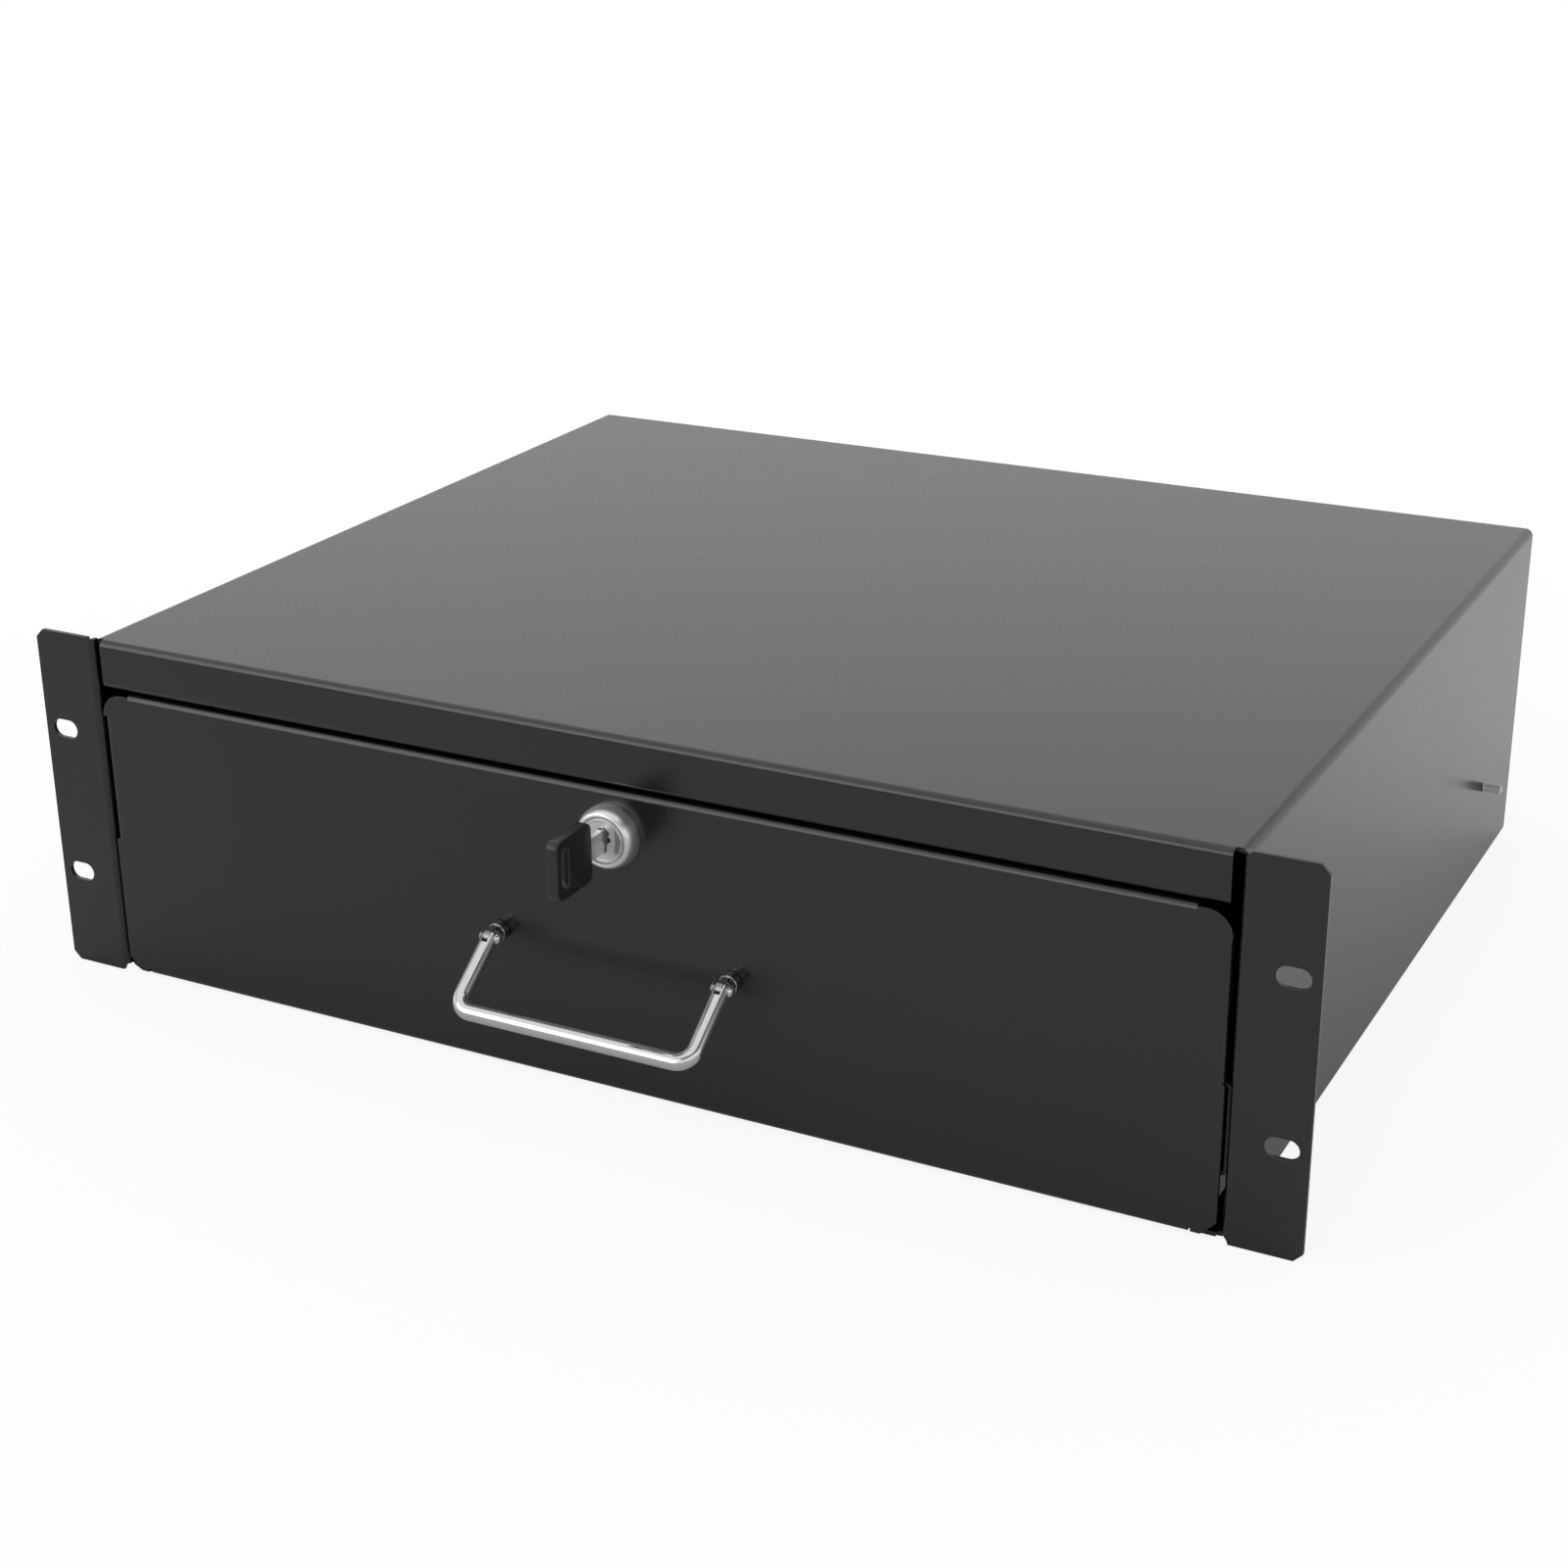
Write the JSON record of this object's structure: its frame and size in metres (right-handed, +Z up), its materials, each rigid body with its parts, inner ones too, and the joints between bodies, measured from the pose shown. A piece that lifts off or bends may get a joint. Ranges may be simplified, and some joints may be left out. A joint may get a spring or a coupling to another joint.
{
  "type": "rack drawer",
  "caption": "Lockable sliding drawer for an equipment rack: a folded steel case with ears, ball-bearing slides, a folding wire handle and a cam lock with its key.",
  "frame": {"origin": "centre of the rack slot pattern, on the rear face of the ears", "axes": "+X to the right seen from the front, +Y into the rack, +Z up"},
  "size_m": [0.4826, 0.3965, 0.1324],
  "materials": {
    "powder_coat": "black semi-gloss powder coat with a fine orange-peel texture",
    "zinc_steel": "zinc-plated rolled steel",
    "black_zinc": "black zinc-plated rolled steel",
    "chrome_plate": "bright chrome plate",
    "nickel_plate": "satin nickel plate",
    "key_plastic": "black moulded plastic",
    "rubber_black": "moulded rubber",
    "bearing_steel": "polished bearing steel",
    "cage_steel": "pressed plain steel"
  },
  "bodies": {
    "case": {"case_shell": "powder_coat", "rear_panel": "powder_coat", "outer_rail_right": "black_zinc", "rail_bumper_right": "rubber_black", "outer_rail_left": "black_zinc", "rail_bumper_left": "rubber_black"},
    "drawer": {"drawer_front": "powder_coat", "drawer_tray": "powder_coat", "drawer_back": "powder_coat", "lock_barrel": "chrome_plate", "lock_nut": "zinc_steel", "inner_rail_right": "black_zinc", "handle_post_right": "chrome_plate", "handle_rivet_right": "chrome_plate", "inner_rail_left": "black_zinc", "handle_post_left": "chrome_plate", "handle_rivet_left": "chrome_plate"},
    "handle": {"handle_bail": "chrome_plate"},
    "lock_core": {"lock_plug": "nickel_plate", "lock_cam": "zinc_steel"},
    "key": {"key_blade": "nickel_plate", "key_bow": "key_plastic"},
    "middle_rail_right": {"middle_rail_right": "black_zinc"},
    "outer_cage_right": {"outer_ball_cage_right": "cage_steel", "outer_balls_right": "bearing_steel"},
    "inner_cage_right": {"inner_ball_cage_right": "cage_steel", "inner_balls_right": "bearing_steel"},
    "middle_rail_left": {"middle_rail_left": "black_zinc"},
    "outer_cage_left": {"outer_ball_cage_left": "cage_steel", "outer_balls_left": "bearing_steel"},
    "inner_cage_left": {"inner_ball_cage_left": "cage_steel", "inner_balls_left": "bearing_steel"}
  },
  "joints": [
    {"name": "drawer_slide", "type": "slide", "parent": "case", "child": "drawer", "axis": [0, -1, 0], "range_m": [0, 0.34]},
    {"name": "middle_rail_right_slide", "type": "slide", "parent": "case", "child": "middle_rail_right", "axis": [0, -1, 0], "range_m": [0, 0.17]},
    {"name": "outer_cage_right_slide", "type": "slide", "parent": "case", "child": "outer_cage_right", "axis": [0, -1, 0], "range_m": [0, 0.085]},
    {"name": "inner_cage_right_slide", "type": "slide", "parent": "case", "child": "inner_cage_right", "axis": [0, -1, 0], "range_m": [0, 0.255]},
    {"name": "middle_rail_left_slide", "type": "slide", "parent": "case", "child": "middle_rail_left", "axis": [0, -1, 0], "range_m": [0, 0.17]},
    {"name": "outer_cage_left_slide", "type": "slide", "parent": "case", "child": "outer_cage_left", "axis": [0, -1, 0], "range_m": [0, 0.085]},
    {"name": "inner_cage_left_slide", "type": "slide", "parent": "case", "child": "inner_cage_left", "axis": [0, -1, 0], "range_m": [0, 0.255]},
    {"name": "handle_swing", "type": "hinge", "parent": "drawer", "child": "handle", "pos_m": [0, -0.0085, -0.01353], "axis": [-1, 0, 0], "range_deg": [-53.8, 126]},
    {"name": "lock_turn", "type": "hinge", "parent": "drawer", "child": "lock_core", "pos_m": [0, 0, 0.0302], "axis": [0, 1, 0], "range_deg": [0, 90]},
    {"name": "key_pull", "type": "slide", "parent": "lock_core", "child": "key", "axis": [0, -1, 0], "range_m": [0, 0.022]}
  ],
  "couplings": [
    {"joint": "middle_rail_right_slide", "follows": "drawer_slide", "ratio": 0.5},
    {"joint": "outer_cage_right_slide", "follows": "drawer_slide", "ratio": 0.25},
    {"joint": "inner_cage_right_slide", "follows": "drawer_slide", "ratio": 0.75},
    {"joint": "middle_rail_left_slide", "follows": "drawer_slide", "ratio": 0.5},
    {"joint": "outer_cage_left_slide", "follows": "drawer_slide", "ratio": 0.25},
    {"joint": "inner_cage_left_slide", "follows": "drawer_slide", "ratio": 0.75}
  ]
}
